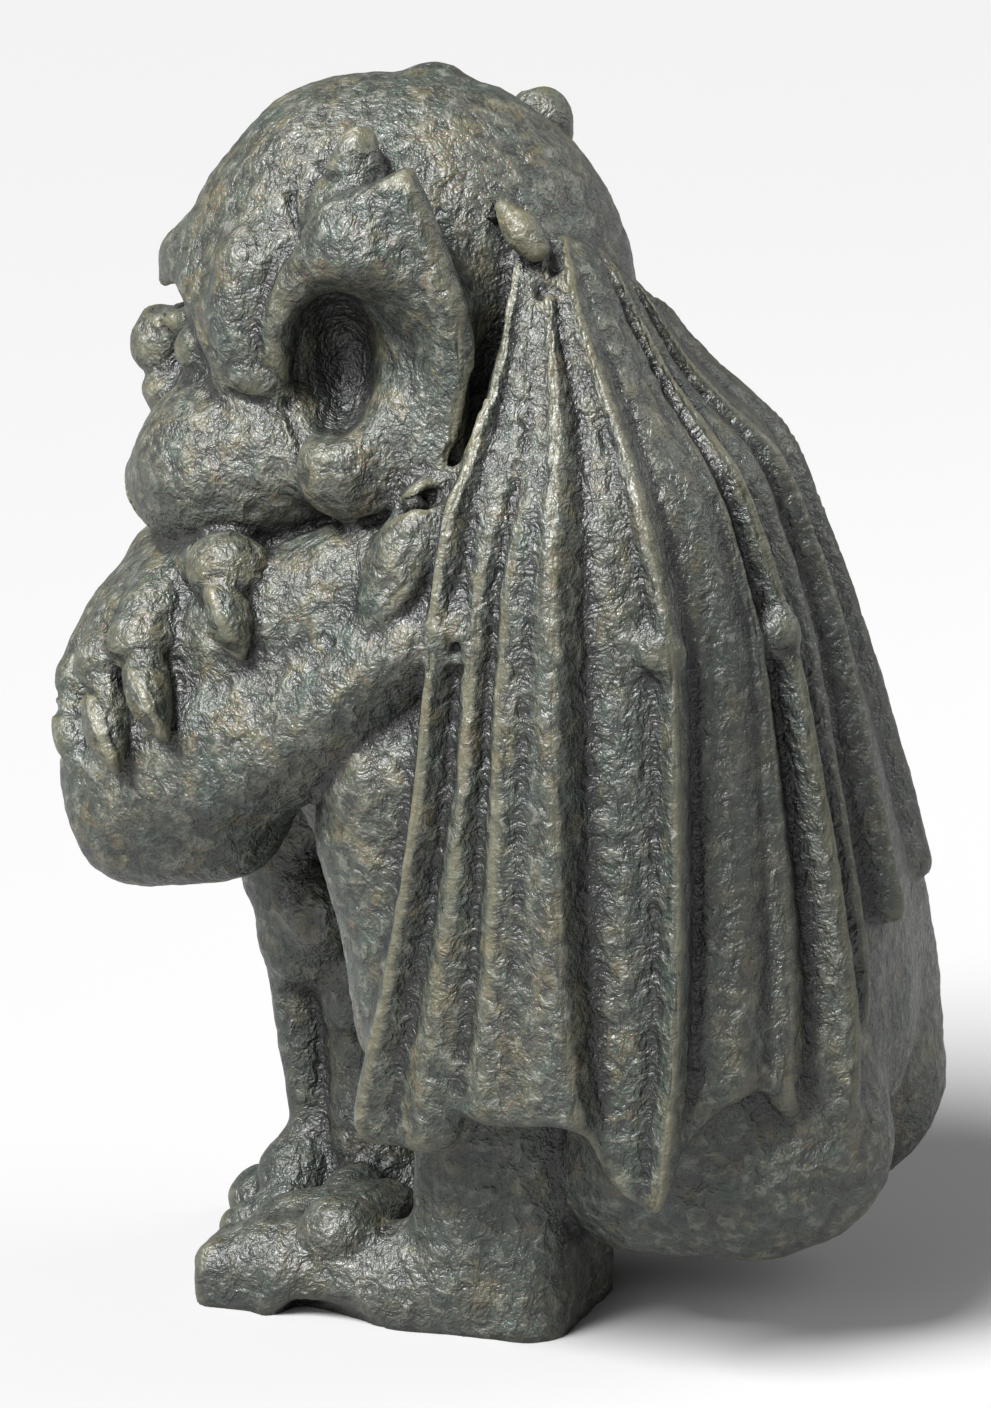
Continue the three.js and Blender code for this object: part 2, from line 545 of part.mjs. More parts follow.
// A mesh thinned to a number of faces: the edge that moves the surface least is drawn together
// first, judged by the squares of the distances to the planes that met at its two ends.
function thin({ points, faces }, goal) {
  const around = points.map(() => new Set());
  faces.forEach((face, f) => face.forEach((p) => around[p].add(f)));
  // A point's planes as the ten terms of a quadratic form: xx, xy, xz, x, yy, yz, y, zz, z, 1
  const planes = points.map(() => new Float64Array(10));
  for (const face of faces) {
    const n = normal(...face.map((p) => points[p]));
    const area = Math.hypot(...n);
    if (area < 1e-12) continue;
    const plane = [...n.map((value) => value / area), -dot(n, points[face[0]]) / area];
    for (const p of face) {
      let term = 0;
      for (let i = 0; i < 4; i += 1) {
        for (let j = i; j < 4; j += 1, term += 1) planes[p][term] += area * plane[i] * plane[j];
      }
    }
  }
  const version = new Uint32Array(points.length);
  const heap = [];
  const before = (a, b) => heap[a].cost < heap[b].cost;
  const swap = (a, b) => { [heap[a], heap[b]] = [heap[b], heap[a]]; };
  const push = (entry) => {
    heap.push(entry);
    for (let i = heap.length - 1; i > 0 && before(i, (i - 1) >> 1); i = (i - 1) >> 1) swap(i, (i - 1) >> 1);
  };
  const pop = () => {
    swap(0, heap.length - 1);
    const entry = heap.pop();
    for (let i = 0, child = 1; child < heap.length; i = child, child = 2 * i + 1) {
      if (child + 1 < heap.length && before(child + 1, child)) child += 1;
      if (!before(child, i)) break;
      swap(i, child);
    }
    return entry;
  };
  const consider = (a, b) => {
    const q = planes[a].map((value, term) => value + planes[b][term]);
    const middle = points[a].map((value, axis) => (value + points[b][axis]) / 2);
    const stay = stiffness * (q[0] + q[4] + q[7]) + 1e-9;
    const [m00, m11, m22] = [q[0] + stay, q[4] + stay, q[7] + stay];
    const r = [stay * middle[0] - q[3], stay * middle[1] - q[6], stay * middle[2] - q[8]];
    const [c0, c1, c2] = [m11 * m22 - q[5] * q[5], q[2] * q[5] - q[1] * m22, q[1] * q[5] - q[2] * m11];
    const whole = m00 * c0 + q[1] * c1 + q[2] * c2;
    const place = [
      (r[0] * c0 + r[1] * c1 + r[2] * c2) / whole,
      (r[0] * c1 + r[1] * (m00 * m22 - q[2] * q[2]) + r[2] * (q[1] * q[2] - m00 * q[5])) / whole,
      (r[0] * c2 + r[1] * (q[1] * q[2] - m00 * q[5]) + r[2] * (m00 * m11 - q[1] * q[1])) / whole,
    ];
    const [x, y, z] = place;
    const error = q[0] * x * x + q[4] * y * y + q[7] * z * z + q[9]
      + 2 * (q[1] * x * y + q[2] * x * z + q[5] * y * z + q[3] * x + q[6] * y + q[8] * z);
    const moved = stay * Math.hypot(...place.map((value, axis) => value - middle[axis])) ** 2;
    push({ cost: error + moved, a, b, place, stamp: version[a] + version[b], planes: q });
  };
  for (const [a, b, c] of faces) {
    for (const [p, q] of [[a, b], [b, c], [c, a]]) if (p < q) consider(p, q);
  }
  const neighbours = (p) => new Set([...around[p]].flatMap((f) => faces[f]).filter((n) => n !== p));
  const turnsOver = (p, other, place) => [...around[p]].some((f) => {
    if (faces[f].includes(other)) return false;
    const old = normal(...faces[f].map((n) => points[n]));
    const fresh = normal(...faces[f].map((n) => (n === p ? place : points[n])));
    return dot(old, fresh) < leastTurn * Math.hypot(...old) * Math.hypot(...fresh);
  });
  let left = faces.length;
  while (left > goal && heap.length) {
    const { a, b, place, stamp, planes: q } = pop();
    if (!around[a].size || !around[b].size || stamp !== version[a] + version[b]) continue;
    const shared = [...around[a]].filter((f) => faces[f].includes(b));
    const nearB = neighbours(b);
    const common = [...neighbours(a)].filter((n) => nearB.has(n));
    if (shared.length !== 2 || common.length !== 2) continue;
    if (turnsOver(a, b, place) || turnsOver(b, a, place)) continue;
    for (const f of shared) faces[f].forEach((n) => around[n].delete(f));
    for (const f of around[b]) {
      faces[f] = faces[f].map((n) => (n === b ? a : n));
      around[a].add(f);
    }
    around[b].clear();
    points[a] = place;
    planes[a] = q;
    version[a] += version[b] + 1;
    left -= 2;
    for (const n of neighbours(a)) consider(a, n);
  }
  const kept = faces.filter((face, f) => around[face[0]].has(f));
  return { points, faces: kept };
}

// The mesh cut flat at ground level, so that the feet stand on true flat soles
function standing({ points, faces }) {
  const solid = (vertProperties, triVerts) => new wasm.Manifold(new wasm.Mesh({
    numProp: 3, vertProperties: new Float32Array(vertProperties), triVerts: new Uint32Array(triVerts),
  }));
  const used = [...new Set(faces.flat())];
  const renumbered = new Map(used.map((p, i) => [p, i]));
  const figure = solid(used.flatMap((p) => points[p]), faces.flat().map((p) => renumbered.get(p)));
  const [width, depth] = [highest[0] - lowest[0], highest[1] - lowest[1]];
  const block = new THREE.BoxGeometry(2 * width, 2 * depth, groundDepth).translate(0, 0, -groundDepth / 2);
  block.deleteAttribute('normal');
  block.deleteAttribute('uv');
  const ground = mergeVertices(block);
  return figure.subtract(solid(ground.attributes.position.array, ground.index.array)).getMesh();
}

// The statue as one mesh, moved so that the middle of its footprint is the origin
function figureMesh() {
  const { vertProperties, triVerts } = standing(thin(surface(gargoyle()), triangleGoal));
  const geometry = new THREE.BufferGeometry();
  geometry.setAttribute('position', new THREE.BufferAttribute(vertProperties, 3));
  geometry.setIndex(new THREE.BufferAttribute(triVerts, 1));
  geometry.computeBoundingBox();
  const middle = geometry.boundingBox.getCenter(new THREE.Vector3());
  geometry.translate(-middle.x, -middle.y, -geometry.boundingBox.min.z);
  geometry.computeVertexNormals();
  const patina = new THREE.MeshStandardMaterial({ color: 0x4f524a, roughness: 0.55, metalness: 0.1 });
  const mesh = new THREE.Mesh(geometry, patina);
  mesh.name = 'gargoyle_figure';
  return mesh;
}

const wasm = await Module();
wasm.setup();
const statue = new THREE.Group();
statue.add(figureMesh());

export default statue;
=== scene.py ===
import math

import bmesh
import bpy
import numpy as np
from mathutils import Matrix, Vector


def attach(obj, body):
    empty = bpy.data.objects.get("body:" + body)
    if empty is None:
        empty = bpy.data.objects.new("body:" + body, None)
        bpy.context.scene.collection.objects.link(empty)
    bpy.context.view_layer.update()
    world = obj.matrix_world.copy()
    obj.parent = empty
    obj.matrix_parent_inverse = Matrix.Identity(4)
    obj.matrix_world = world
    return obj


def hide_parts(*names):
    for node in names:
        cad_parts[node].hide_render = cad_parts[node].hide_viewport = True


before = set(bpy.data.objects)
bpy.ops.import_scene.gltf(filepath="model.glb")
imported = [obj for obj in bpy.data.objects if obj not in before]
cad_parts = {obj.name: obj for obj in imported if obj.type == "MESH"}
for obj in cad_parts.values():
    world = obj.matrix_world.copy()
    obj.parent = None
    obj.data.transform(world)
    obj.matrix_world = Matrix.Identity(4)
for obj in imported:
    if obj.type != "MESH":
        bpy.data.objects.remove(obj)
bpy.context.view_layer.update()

# The figure: one hollow casting in resin and stone powder, from a clay model that was built up by
# hand. Its mesh starts as the CAD solid, is given an even skin, and is pressed onto the clay forms
# below, which are written in millimetres, with the face towards -Y and the left side towards +X.
MM = 0.001
NODE = "gargoyle_figure"
CLAY_TO_FRAME = (0.0, -3.35, 0.0)


def through(stations, place):
    """The value of a smooth curve through rising (place, value) stations."""
    xs, ys = np.array(stations, float).T
    place = np.clip(place, xs[0], xs[-1])
    last = len(xs) - 1
    i = np.clip(np.searchsorted(xs, place, side="left") - 1, 0, last - 1)
    low, high = np.maximum(i - 1, 0), np.minimum(i + 2, last)
    gap = xs[i + 1] - xs[i]
    t = (place - xs[i]) / gap
    enter = (ys[i + 1] - ys[low]) / (xs[i + 1] - xs[low]) * gap
    leave = (ys[high] - ys[i]) / (xs[high] - xs[i]) * gap
    rise = ys[i + 1] - ys[i]
    return ys[i] + t * (enter + t * (3 * rise - 2 * enter - leave + t * (enter + leave - 2 * rise)))


def soft_min(a, b, width):
    h = np.maximum(width - np.abs(a - b), 0) / width
    return np.minimum(a, b) - h * h * width / 4


def soft_max(a, b, width):
    return -soft_min(-a, -b, width)


class Form:
    """A lump of clay: at(points) is the distance to its skin, and a ball of reach holds it."""

    def __init__(self, middle, reach, at):
        self.middle, self.reach, self.at = np.array(middle, float), reach, at


def egg(middle, size, lean=0, turn=0):
    """An egg, leant back about the X axis and turned about the Z axis by degrees."""
    size = np.array(size, float)
    cl, sl = math.cos(math.radians(lean)), math.sin(math.radians(lean))
    ct, st = math.cos(math.radians(turn)), math.sin(math.radians(turn))
    axes = np.array([(ct, st, 0), (-st * cl, ct * cl, sl), (st * sl, -ct * sl, cl)])

    def at(p):
        place = (p - middle) @ axes.T / size
        k = np.linalg.norm(place, axis=1)
        g = np.linalg.norm(place / size, axis=1)
        return np.where(g > 1e-9, k * (k - 1) / np.maximum(g, 1e-9), -size.min())

    return Form(middle, size.max(), at)


def limb(*stations):
    """A limb with a round section through (x, y, z, radius) stations, curved between them."""
    rows = np.array(stations, float)
    steps = 7 if len(rows) > 2 else 1
    places = np.arange((len(rows) - 1) * steps + 1) / steps
    spine = np.stack([through(list(enumerate(rows[:, axis])), places) for axis in range(4)], 1)
    middle = (spine[:, :3].min(0) + spine[:, :3].max(0)) / 2
    reach = (np.linalg.norm(spine[:, :3] - middle, axis=1) + spine[:, 3]).max()

    def at(p):
        nearest = np.full(len(p), np.inf)
        for a, b in zip(spine, spine[1:]):
            along = b[:3] - a[:3]
            off = p - a[:3]
            t = np.clip(off @ along / (along @ along), 0, 1)
            far = np.linalg.norm(off - t[:, None] * along, axis=1)
            nearest = np.minimum(nearest, far - a[3] - t * (b[3] - a[3]))
        return nearest

    return Form(middle, reach, at)


def block(middle, half, rounding, turn=0):
    """A block with rounded edges, turned about the Z axis by degrees."""
    ct, st = math.cos(math.radians(turn)), math.sin(math.radians(turn))
    axes = np.array([(ct, st, 0), (-st, ct, 0), (0, 0, 1)])
    core = np.array(half, float) - rounding

    def at(p):
        off = np.abs((p - middle) @ axes.T) - core
        return np.linalg.norm(np.maximum(off, 0), axis=1) + np.minimum(off.max(1), 0) - rounding

    return Form(middle, np.linalg.norm(half), at)


def paired(form):
    """The same form on both sides of the statue."""
    middle = form.middle * (0, 1, 1)
    return Form(middle, form.reach + abs(form.middle[0]), lambda p: form.at(np.abs(p) * (1, 0, 0) + p * (0, 1, 1)))


class Clay:
    """A form built up by adding and cutting others, each with the width of its soft join."""

    def __init__(self):
        self.strokes = []

    def add(self, form, width):
        self.strokes.append((form, width, False))
        return self

    def cut(self, form, width):
        self.strokes.append((form, width, True))
        return self

    def at(self, p):
        d = np.full(len(p), 60.0)
        for form, width, cuts in self.strokes:
            clear = np.linalg.norm(p - form.middle, axis=1) - form.reach
            near = clear < (width - d if cuts else width + d)
            if cuts:
                d[near] = soft_max(d[near], -form.at(p[near]), width)
            else:
                d[near] = soft_min(d[near], form.at(p[near]), width)
        return d

    def form(self):
        added = [form for form, width, cuts in self.strokes if not cuts]
        low = np.min([form.middle - form.reach for form in added], axis=0)
        high = np.max([form.middle + form.reach for form in added], axis=0)
        middle = (low + high) / 2
        reach = max(np.linalg.norm(form.middle - middle) + form.reach for form in added)
        return Form(middle, reach, self.at)


# The wings: one cloak round the back from shoulder to shoulder, about 12 mm thick at its hem,
# pleated along its ribs and twisted a little where the shoulders turn.
SHOULDER_TWIST = ((110, 0), (200, 4), (300, 9), (360, 10))
WING_AXIS = ((245, 46), (300, 38), (345, 27), (376, 20))
WING_HALF_WIDTH = ((60, 100), (110, 105), (195, 105), (245, 100), (270, 95), (290, 87.5), (308, 75), (322, 67.5),
                   (345, 55), (376, 30))
WING_BACK = ((60, 141), (110, 147), (150, 140), (197, 127), (241, 113.5), (272, 102), (294, 92), (309, 75),
             (324, 61), (376, 32))
WING_FRONT = 105
WING_THICKNESS = 12
FOLD_HEIGHTS = (80, 130, 190, 250, 300, 350)
EDGE = (1, 1, 1, 1, 1, 0)
BAR = (5, 5.5, 6, 6, 5, 3)
PLEAT = (1.5, 2, 2.5, 2, 0, 0)
PANEL = (0, 0, -0.5, 0, 0, 0)
HOLLOW = (-2, -3, -3.5, -3, -1.5, -0.5)
CREASE = (-2.5, -3.5, -3.5, -3, -2, -1)
RIDGE = (4, 5, 5, 4.5, 4, 2.5)
CORD = (5.5, 6, 6, 5.5, 4.5, 3)
GROOVE = (-3.5, -5.5, -6.5, -5.5, -4, -2)
FOLDS = (
    (EDGE, (-46.5, -35.5, -28.2, -25.5, -20, -9)),
    (BAR, (-41, -31.7, -25, -22.5, -17.5, -6.5)),
    (CREASE, (-35.5, -28.2, -21.6, -19.2, -14.2, -3.7)),
    (PLEAT, (-27.5, -21.8, -17, -15.4, -9.5, -1.5)),
    (CREASE, (-20, -16.3, -13.7, -12.5, -6, 0.5)),
    (PLEAT, (-14, -11.5, -10.2, -9.6, -4, 1.8)),
    (PANEL, (-9.5, -7.8, -6.1, -5.4, -1.5, 3)),
    (RIDGE, (5.2, 2.2, 0.6, -0.2, 1.9, 5.3)),
    (GROOVE, (9.5, 6.8, 6, 5.6, 8, 7.6)),
    (HOLLOW, (13, 13.5, 12.5, 11.5, 11, 8.8)),
    (CREASE, (16.4, 17.6, 17.5, 17, 14.6, 9.9)),
    (CORD, (19.4, 21.2, 21.3, 20.6, 18.3, 14)),
    (GROOVE, (24.5, 25.5, 25.6, 25, 22.6, 18.5)),
    (HOLLOW, (29, 29, 29, 29, 26.5, 22)),
    (PANEL, (34, 33.8, 33.7, 34, 32, 26)),
    (CREASE, (39.5, 39.5, 39.5, 39.5, 36, 29.5)),
    (PANEL, (43, 43.5, 43.5, 42.5, 38.6, 31.5)),
    (GROOVE, (48.5, 49.4, 48.8, 46, 41.7, 33.8)),
    (CORD, (57, 55.6, 53.8, 51, 47.1, 39)),
    (GROOVE, (65, 60.6, 59.2, 56.6, 52.5, 46)),
    (PANEL, (68, 64, 64.5, 65, 62, 52)),
    (GROOVE, (72, 69.5, 70, 75.5, 71, 57)),
    (RIDGE, (78, 75.2, 76, 82, 77, 63)),
    (CREASE, (85, 83, 83.5, 87, 84, 74)),
)
WING_HEM = ((-48, 80), (-45, 73), (-38, 70), (-30, 71), (-23.5, 76), (-20.5, 86), (-10, 86), (5, 87), (9, 71),
            (15, 61), (18.5, 60), (22, 72), (27, 86), (33, 95), (39, 97), (45, 88), (51, 80), (57, 77), (61, 80),
            (64, 104), (67, 132), (71, 141), (77, 142), (88, 143), (95, 144))
WING_CREST = ((-20, 356), (-4, 364), (8, 365), (20, 363), (40, 357), (56, 350), (75, 346), (90, 344))
FAR_CREST_DROP = 24


def wing_place(p):
    """Where points lie on a wing: (distance out, distance from the plain skin, bearing in degrees)."""
    x, y, z = p.T
    twist = np.radians(through(SHOULDER_TWIST, z))
    axis = through(WING_AXIS, z)
    along = np.cos(twist) * x + np.sin(twist) * (y - axis)
    back = -np.sin(twist) * x + np.cos(twist) * (y - axis)
    depth = np.where(back > 0, through(WING_BACK, z) - axis, WING_FRONT)
    k = np.hypot(along / through(WING_HALF_WIDTH, z), back / depth)
    out = np.hypot(along, back)
    plain = np.where(k > 1e-6, out - out / np.maximum(k, 1e-6), -60)
    return out, plain, np.degrees(np.arctan2(back, np.abs(along)) + twist)


def fold_rise(z, bearing):
    """How far the wing's skin stands out from its plain shape."""
    places = np.stack([through(list(zip(FOLD_HEIGHTS, fold)), z) for kind, fold in FOLDS])
    rises = np.stack([through(list(zip(FOLD_HEIGHTS, kind)), z) for kind, fold in FOLDS])
    rise = rises[0].copy()
    for near, far, low, high in zip(places, places[1:], rises, rises[1:]):
        t = np.clip((bearing - near) / (far - near), 0, 1)
        beyond = bearing > near
        rise[beyond] = (low + t * t * (3 - 2 * t) * (high - low))[beyond]
    return rise, places[0]


def wings():
    def at(p):
        z = p[:, 2]
        out, plain, bearing = wing_place(p)
        rise, edge = fold_rise(z, bearing)
        outer = (plain - rise) * 0.9
        front = np.radians(edge - bearing) * out
        # A steep hem is nearer than the height above or below it
        drop = through(WING_HEM, bearing + 1) - through(WING_HEM, bearing - 1)
        slope = drop / np.radians(2) / np.maximum(out, 20)
        hem = (through(WING_HEM, bearing) - z) / np.sqrt(1 + slope * slope)
        t = np.clip(-p[:, 0] / 30, 0, 1)
        crest = (z - through(WING_CREST, bearing) + t * t * (3 - 2 * t) * FAR_CREST_DROP) * 0.8
        cloak = soft_max(soft_max(soft_max(outer, front, 5), hem, 7), crest, 8)
        under = soft_max(plain + WING_THICKNESS, z - 108, 10)
        return soft_max(cloak, -under, 3)

    return Form((0, 50, 220), 215, at)


def torso():
    return (
        Clay()
        .add(limb((0, -14, 296, 50), (0, 22, 276, 56), (0, 42, 240, 62), (0, 56, 190, 68), (0, 64, 140, 73),
                  (0, 74, 104, 68)), 10)
        .add(paired(limb((20, 20, 275, 50), (58, 20, 250, 36))), 16)
        .add(limb((0, -30, 190, 44), (0, -10, 150, 42), (0, 4, 110, 42), (0, 16, 60, 34)), 16)
        .add(limb((-34, 97, 129, 42), (-42, 101, 99, 41)), 8)
        .add(limb((28, 97, 129, 38), (32, 101, 99, 34)), 8)
        .add(egg((36, 103, 71), (32, 39.5, 39)), 7)
        .add(limb((34, 92, 63, 35), (29, 63, 63, 38)), 6)
        .add(egg((-43, 106, 71), (38, 38.5, 42)), 7)
        .add(paired(limb((52, 70, 98, 36), (60, 24, 156, 34))), 12)
        .add(block((24, 19, 44), (36, 20, 56), 14, -6), 6)
    )


def near_leg():
    return (
        Clay()
        .add(limb((62, 50, 160, 36), (62, 12, 190, 32), (61, -12, 178, 31), (60, -5, 145, 31), (58, -4, 112, 28)), 10)
        .add(limb((71, 10, 212, 21), (70, -14, 194, 25)), 4)
        .add(limb((50, 8, 122, 24), (42, 6, 60, 22), (40, 4, 20, 22)), 10)
        .add(egg((40, -10, 10), (21, 46, 22)), 8)
        .add(block((38, -54, 9), (17, 37, 12), 7, -3), 4)
        .add(egg((38, -60, 17), (17, 24, 12)), 4)
        .add(limb((50, -60, 12, 8), (53, -65, 2, 3)), 3)
        .add(egg((42, -42, 28), (14, 14, 11.5)), 5)
        .cut(limb((70, -20, -3, 8), (61, -36, -3, 10), (52, -52, -3, 9)), 3)
        .add(limb((14, -44, 18, 16), (15, -68, 14, 14), (16, -80, 4, 8)), 6)
    )


def far_leg():
    return (
        Clay()
        .add(limb((-48, 40, 160, 36), (-46, -40, 168, 34), (-42, -75, 138, 25), (-38, -75, 114, 18)), 8)
        .add(egg((-34, -68, 106), (16, 24, 17), 24), 8)
        .add(limb((-34, -74, 116, 15), (-20, -62, 120, 17)), 6)
        .add(limb((-42, -83, 104, 10), (-41, -78.5, 70, 9.5), (-40, -74, 42, 10), (-40, -72, 28, 13)), 6)
        .add(limb((-36, -46, 110, 21), (-37, -51, 88, 20), (-38, -54, 70, 15), (-34, -46, 20, 20)), 6)
        .add(egg((-36, -16, 12), (24, 54, 22)), 8)
        .add(egg((-32, -77, 20), (17, 15, 15)), 5)
        .add(egg((-38, -92, 8), (14, 13, 11)), 4)
        .add(limb((-46, -96, 10, 7), (-48, -104, 4, 4)), 3)
        .add(egg((-10, -52, 20), (15, 12, 12)), 4)
        .add(egg((2, -38, 22), (12, 12, 10)), 4)
        .add(limb((-16, -76, 10, 12), (-17, -94, 4, 8)), 4)
    )


# The leaf of the ear between its front and back rims: (height, distance back)
EAR_FRONT = ((278, -28), (285, -39), (300, -43), (318, -56), (332, -61), (348, -57.5), (364, -47), (381, -28.5),
             (391, -10))
EAR_BACK = ((278, -28), (281, -14), (285, -3), (291, 6), (302, 9.5), (318, 11), (334, 12), (348, 9.5), (361, 4.5),
            (380, -3.5), (391, -10))


def ear_leaf():
    def at(p):
        x, y, z = np.abs(p[:, 0]), p[:, 1], p[:, 2]
        outline = soft_max(through(EAR_FRONT, z) - y, y - through(EAR_BACK, z), 4) * 0.85
        face = x - 67 - 0.19 * (y + 60)
        return soft_max(soft_max(outline, face, 7), -face - 15, 8)

    return Form((0, -22, 334), 105, at)


def head():
    return (
        Clay()
        .add(egg((0, -27, 334), (60, 73, 75)), 10)
        .add(egg((0, -50, 360), (50, 41, 46)), 6)
        .add(egg((-8, -22, 404), (8, 9, 7)), 6)
        .add(egg((0, -58, 354), (46, 43, 35)), 8)
        .add(limb((0, -20, 300, 46), (0, 10, 290, 46)), 20)
        .add(egg((0, -68, 308), (46, 38, 42)), 14)
        .add(paired(egg((38, -56, 340), (21, 28, 30))), 10)
        .add(paired(limb((0, -101, 344, 13), (16, -94, 347, 13), (32, -83, 341, 12), (42, -77, 330, 10))), 7)
        .cut(paired(egg((24, -112, 320), (17, 16, 12), 0, -14)), 6)
        .add(paired(egg((28, -90, 321), (12, 10, 9))), 2)
        .add(limb((0, -100, 336, 10), (0, -107, 322, 13)), 7)
        .add(egg((0, -110, 316), (17, 14, 12)), 4)
        .add(paired(egg((9, -103, 327), (11, 9, 8))), 3)
        .add(paired(egg((10, -106, 303), (12, 11, 8))), 3)
        .add(egg((0, -92, 288), (28, 24, 18)), 8)
        .add(egg((0, -74, 268), (44, 36, 18)), 10)
        .add(paired(egg((40, -56, 292), (30, 32, 26))), 10)
        .add(paired(egg((32, -73, 284), (38, 39, 32))), 5)
        .add(paired(egg((22, -84, 275), (30, 35, 22))), 8)
        .add(paired(egg((48, -67, 319), (11, 14, 9), 0, 20)), 7)
        .cut(paired(limb((0, -108, 332, 4), (14, -105, 334, 4.5), (26, -100, 337, 4))), 2)
        .cut(paired(limb((0, -115, 331, 4.5), (14, -111, 332, 5), (26, -105, 335, 5))), 2)
        .cut(paired(limb((0, -123, 288, 2.5), (20, -119, 281, 2.5), (38, -109, 270, 2))), 3)
        .add(paired(limb((54, -14, 340, 22), (52, -20, 310, 22))), 8)
        .add(paired(limb((50, -68, 352, 11), (54, -70, 336, 10), (56, -64, 318, 8))), 8)
        .add(paired(ear_leaf()), 3)
        .add(paired(egg((67, -25, 360), (15, 17, 22), 38)), 8)
        .add(egg((-68, -1, 381), (10, 10, 14)), 6)
        .add(paired(egg((70, -32, 292), (13, 14, 15))), 10)
        .cut(paired(egg((97, -8, 322), (24, 24, 38), 4)), 8)
        .cut(paired(egg((84, -27, 331), (24, 23, 22))), 10)
        .cut(paired(egg((66, -37, 325), (24, 14, 22))), 10)
        .cut(paired(limb((72, -44, 314, 5), (76, -45, 304, 3))), 3)
        .add(paired(limb((50, -36, 370, 14), (50, -33, 384, 9.5), (50, -32, 393, 6.5))), 2)
    )


def near_arm():
    return (
        Clay()
        .add(limb((78, 12, 246, 18), (79, -10, 237, 18), (73, -38, 214, 23), (61, -72, 198, 29),
                  (50, -93, 186, 31)), 8)
        .add(limb((48, -106, 169, 25), (54, -78, 171, 21)), 14)
        .add(egg((42, -108, 184), (27, 27, 26)), 10)
        .add(limb((93, -5, 242, 5.5), (91, -33, 218, 7), (83, -67, 189, 8), (72, -102, 179, 8)), 6)
        .add(limb((62, -10, 240, 24), (58, -48, 230, 26), (48, -78, 214, 28)), 8)
        .add(limb((60, 4, 262, 24), (61, -34, 247, 25), (56, -68, 231, 25), (46, -86, 214, 25)), 4)
        .add(egg((70, 12, 262), (20, 22, 36)), 8)
        .add(egg((83, -8, 268), (14, 11, 27), -22, 25), 3)
        .cut(limb((92, 2, 286, 2), (97, -4, 270, 2.5), (97, -17, 254, 2)), 3)
        .add(limb((10, -97, 200, 29), (48, -91, 196, 29)), 10)
    )


# Each finger of the draped hand: its ray across the back of the hand, its knuckle, and its claw
FINGERS = (
    (((24, -92, 249, 12), (50, -82, 254, 12), (64, -74, 257, 11)), ((71, -70, 258), (13, 14, 12)),
     ((80, -68, 251, 7.5), (85, -65, 243, 7), (87, -61, 233, 1.5))),
    (((20, -102, 244, 13), (48, -97, 244, 12.5), (62, -97, 239, 12)), ((69, -99, 232), (13, 12.5, 12)),
     ((78, -96, 224, 8), (86, -92, 216, 7), (93, -85, 206, 1.5))),
    (((14, -106, 239, 12.5), (38, -110, 235, 12), (52, -112, 229, 12)), ((61, -113, 222), (13, 12.5, 12)),
     ((70, -112, 213, 8), (79, -109, 204, 7.5), (88, -103, 193, 1.5))),
    (((10, -110, 236, 12.5), (26, -120, 229, 12), (35, -125, 219, 11)), ((43, -126, 211), (12, 12, 11)),
     ((51, -129, 202, 7.5), (59, -127, 196, 7), (67, -122, 187, 2))),
)


def far_arm():
    arm = (
        Clay()
        .add(limb((-66, 6, 255, 32), (-80, -40, 215, 30), (-66, -90, 190, 32)), 8)
        .add(limb((-66, -86, 192, 30), (-34, -103, 214, 24), (8, -104, 240, 20)), 8)
        .add(egg((36, -99, 233), (30, 22, 17), 24, 8), 8)
    )
    for ray, (knuckle, size), claw in FINGERS:
        arm.add(limb(*ray), 8)
    for ray, (knuckle, size), claw in FINGERS:
        arm.add(egg(knuckle, size), 3)
    for ray, (knuckle, size), claw in FINGERS:
        arm.add(limb(*claw), 1)
    return arm


gargoyle = (
    Clay()
    .add(torso().form(), 2)
    .add(wings(), 3)
    .add(near_leg().form(), 4)
    .add(far_leg().form(), 4)
    .add(near_arm().form(), 3)
    .add(far_arm().form(), 2.5)
    .add(head().form(), 3)
    .cut(paired(limb((62, 16, 352, 4), (76, 13.5, 338, 4), (80, 13.5, 320, 3), (82, 10.5, 304, 2.5), (82, 5, 292, 3),
                     (82, -5, 285, 3), (82, -18, 280, 3))), 2)
    .cut(paired(limb((86, 9, 308, 3), (87, 8, 300, 3.5), (86, 4, 291, 3.5), (86, -5, 285.5, 3),
                     (84, -16, 281, 2))), 2)
    .cut(paired(limb((60, 14, 340, 4.5), (70, 13, 324, 4), (72, 9, 306, 3), (74, 2, 291, 3))), 2)
    .add(limb((50, 26, 363, 4.5), (48, 21, 368, 6), (46, 14, 375, 2.5)), 3)
    .add(limb((-52, 22, 338, 4.5), (-50, 16, 344, 6), (-48, 9, 350, 2.5)), 3)
)

